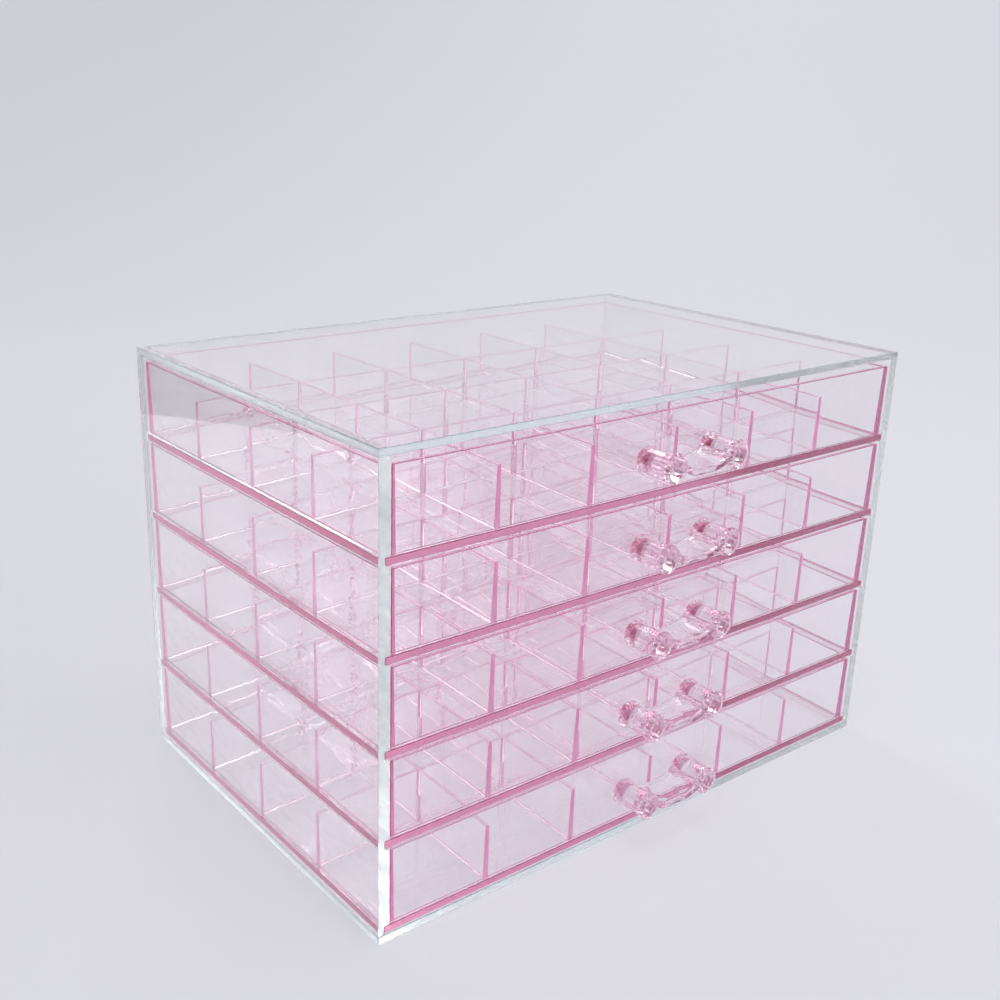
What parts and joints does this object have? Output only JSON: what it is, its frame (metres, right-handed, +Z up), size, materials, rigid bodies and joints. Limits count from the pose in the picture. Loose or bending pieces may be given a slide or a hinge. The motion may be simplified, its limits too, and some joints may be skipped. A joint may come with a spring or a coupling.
{
  "type": "charm organizer box",
  "caption": "Clear open-front cabinet with stacked transparent pink drawers, each divided into small square compartments and pulled by a clear two-post crystal-style handle.",
  "frame": {"origin": "middle of the cabinet's underside, where it rests", "axes": "+Z up, +X along the width to the right as seen from the front, -Y out of the front, where the drawers open"},
  "size_m": [0.24, 0.1724, 0.1617],
  "materials": {
    "clear_acrylic": "clear colourless acrylic sheet, polished, with pale cyan-grey edges",
    "pink_acrylic": "transparent pink acrylic, pale through its faces and saturated along its edges",
    "crystal_plastic": "clear faceted plastic, polished"
  },
  "bodies": {
    "cabinet": {"top_panel": "clear_acrylic", "bottom_panel": "clear_acrylic", "left_side_panel": "clear_acrylic", "right_side_panel": "clear_acrylic", "back_panel": "clear_acrylic"},
    "drawer_1": {"drawer_1_base": "pink_acrylic", "drawer_1_front": "pink_acrylic", "drawer_1_back": "pink_acrylic", "drawer_1_left_wall": "pink_acrylic", "drawer_1_right_wall": "pink_acrylic", "drawer_1_long_dividers": "pink_acrylic", "drawer_1_cross_dividers": "pink_acrylic", "drawer_1_handle_pegs": "pink_acrylic", "drawer_1_handle_posts": "crystal_plastic", "drawer_1_handle_bow": "crystal_plastic"},
    "drawer_2": {"drawer_2_base": "pink_acrylic", "drawer_2_front": "pink_acrylic", "drawer_2_back": "pink_acrylic", "drawer_2_left_wall": "pink_acrylic", "drawer_2_right_wall": "pink_acrylic", "drawer_2_long_dividers": "pink_acrylic", "drawer_2_cross_dividers": "pink_acrylic", "drawer_2_handle_pegs": "pink_acrylic", "drawer_2_handle_posts": "crystal_plastic", "drawer_2_handle_bow": "crystal_plastic"},
    "drawer_3": {"drawer_3_base": "pink_acrylic", "drawer_3_front": "pink_acrylic", "drawer_3_back": "pink_acrylic", "drawer_3_left_wall": "pink_acrylic", "drawer_3_right_wall": "pink_acrylic", "drawer_3_long_dividers": "pink_acrylic", "drawer_3_cross_dividers": "pink_acrylic", "drawer_3_handle_pegs": "pink_acrylic", "drawer_3_handle_posts": "crystal_plastic", "drawer_3_handle_bow": "crystal_plastic"},
    "drawer_4": {"drawer_4_base": "pink_acrylic", "drawer_4_front": "pink_acrylic", "drawer_4_back": "pink_acrylic", "drawer_4_left_wall": "pink_acrylic", "drawer_4_right_wall": "pink_acrylic", "drawer_4_long_dividers": "pink_acrylic", "drawer_4_cross_dividers": "pink_acrylic", "drawer_4_handle_pegs": "pink_acrylic", "drawer_4_handle_posts": "crystal_plastic", "drawer_4_handle_bow": "crystal_plastic"},
    "drawer_5": {"drawer_5_base": "pink_acrylic", "drawer_5_front": "pink_acrylic", "drawer_5_back": "pink_acrylic", "drawer_5_left_wall": "pink_acrylic", "drawer_5_right_wall": "pink_acrylic", "drawer_5_long_dividers": "pink_acrylic", "drawer_5_cross_dividers": "pink_acrylic", "drawer_5_handle_pegs": "pink_acrylic", "drawer_5_handle_posts": "crystal_plastic", "drawer_5_handle_bow": "crystal_plastic"}
  },
  "joints": [
    {"name": "drawer_1_slide", "type": "slide", "parent": "cabinet", "child": "drawer_1", "axis": [0, -1, 0], "range_m": [0, 0.12]},
    {"name": "drawer_2_slide", "type": "slide", "parent": "cabinet", "child": "drawer_2", "axis": [0, -1, 0], "range_m": [0, 0.12]},
    {"name": "drawer_3_slide", "type": "slide", "parent": "cabinet", "child": "drawer_3", "axis": [0, -1, 0], "range_m": [0, 0.12]},
    {"name": "drawer_4_slide", "type": "slide", "parent": "cabinet", "child": "drawer_4", "axis": [0, -1, 0], "range_m": [0, 0.12]},
    {"name": "drawer_5_slide", "type": "slide", "parent": "cabinet", "child": "drawer_5", "axis": [0, -1, 0], "range_m": [0, 0.12]}
  ]
}
